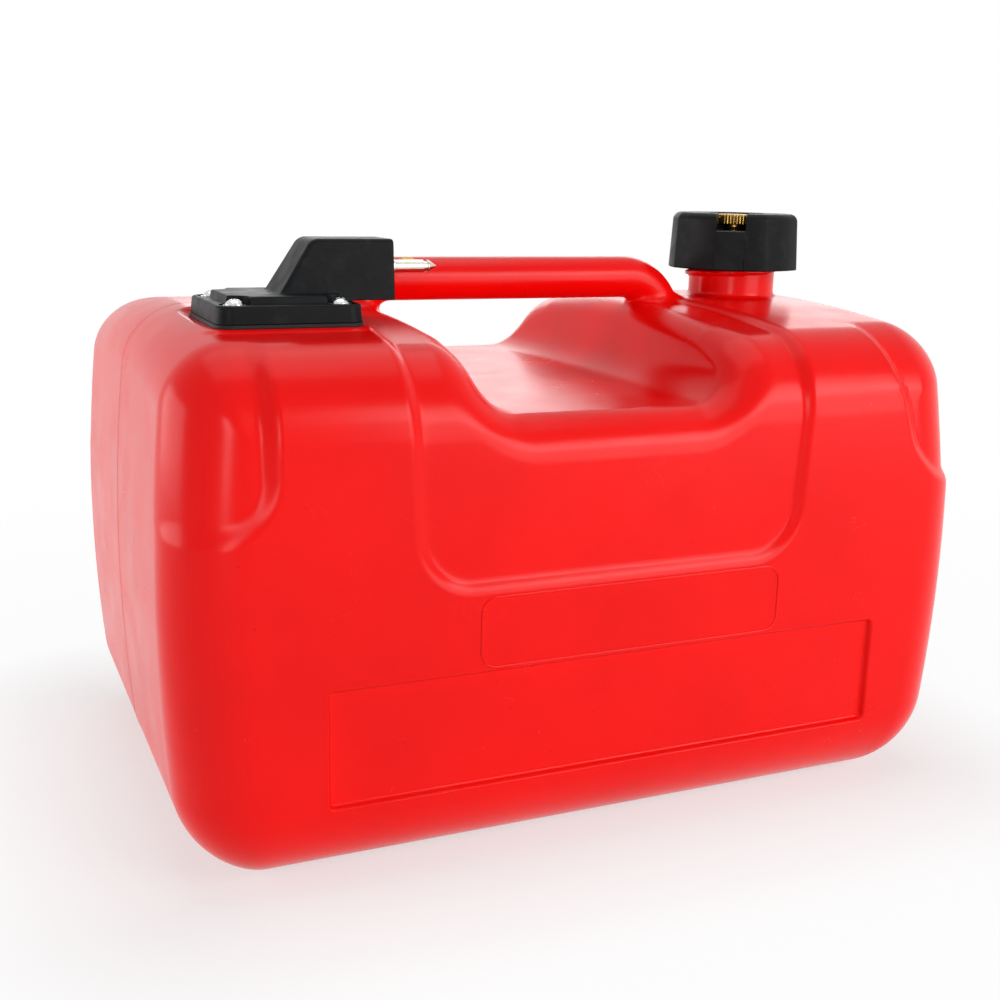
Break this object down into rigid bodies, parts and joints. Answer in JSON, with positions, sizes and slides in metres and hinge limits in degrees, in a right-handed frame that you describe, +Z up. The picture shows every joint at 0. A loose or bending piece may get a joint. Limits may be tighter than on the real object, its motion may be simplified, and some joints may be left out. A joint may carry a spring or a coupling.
{
  "type": "outboard fuel tank",
  "caption": "Portable moulded fuel tank for an outboard engine, with a carrying handle, vented screw cap and pickup fitting with a snap connector.",
  "frame": {"origin": "middle of the footprint, on the ground", "axes": "+X along the length from the pickup end to the filler end, +Y from the front face to the back, +Z up"},
  "size_m": [0.35, 0.239, 0.248],
  "materials": {
    "red_polyethylene": "blow-moulded polyethylene, satin gloss",
    "black_nylon": "moulded nylon with a fine satin grain",
    "nitrile_rubber": "moulded nitrile rubber, matt",
    "brass": "turned brass, bare",
    "nickel_plate": "bright nickel plate on turned brass",
    "stainless_steel": "pressed and turned stainless steel",
    "natural_nylon": "natural nylon, slightly milky"
  },
  "bodies": {
    "tank": {"tank_shell": "red_polyethylene", "carry_handle": "red_polyethylene", "filler_neck": "red_polyethylene", "threaded_inserts": "brass", "flange_gasket": "nitrile_rubber", "pickup_cover": "black_nylon", "flange_screws": "stainless_steel", "screw_washers": "stainless_steel", "manifold": "brass", "manifold_nut": "brass", "manifold_seal": "nitrile_rubber", "connector_stem": "nickel_plate", "latch_pin": "brass", "hose_tail": "brass", "pickup_pipe": "natural_nylon", "pipe_clip": "stainless_steel", "strainer_frame": "natural_nylon", "strainer_mesh": "stainless_steel"},
    "cap_liner": {"cap_gasket": "nitrile_rubber"},
    "cap": {"filler_cap": "black_nylon", "vent_bush": "brass"},
    "vent_liner": {"vent_seal": "nitrile_rubber"},
    "vent_knob": {"vent_screw": "brass", "vent_stop_ring": "stainless_steel"}
  },
  "joints": [
    {"name": "cap_lift", "type": "slide", "parent": "tank", "child": "cap_liner", "axis": [0, 0, 1], "range_m": [0, 0.0075]},
    {"name": "cap_turn", "type": "hinge", "parent": "cap_liner", "child": "cap", "pos_m": [0.1205, 0, 0.235], "axis": [0, 0, 1], "range_deg": [0, 450]},
    {"name": "vent_lift", "type": "slide", "parent": "cap", "child": "vent_liner", "axis": [0, 0, 1], "range_m": [0, 0.002]},
    {"name": "vent_turn", "type": "hinge", "parent": "vent_liner", "child": "vent_knob", "pos_m": [0.1205, 0, 0.2414], "axis": [0, 0, 1], "range_deg": [0, 720]}
  ],
  "couplings": [
    {"joint": "cap_lift", "follows": "cap_turn", "m_per_rad": 0.00095493},
    {"joint": "vent_lift", "follows": "vent_turn", "m_per_rad": 0.00015915}
  ]
}
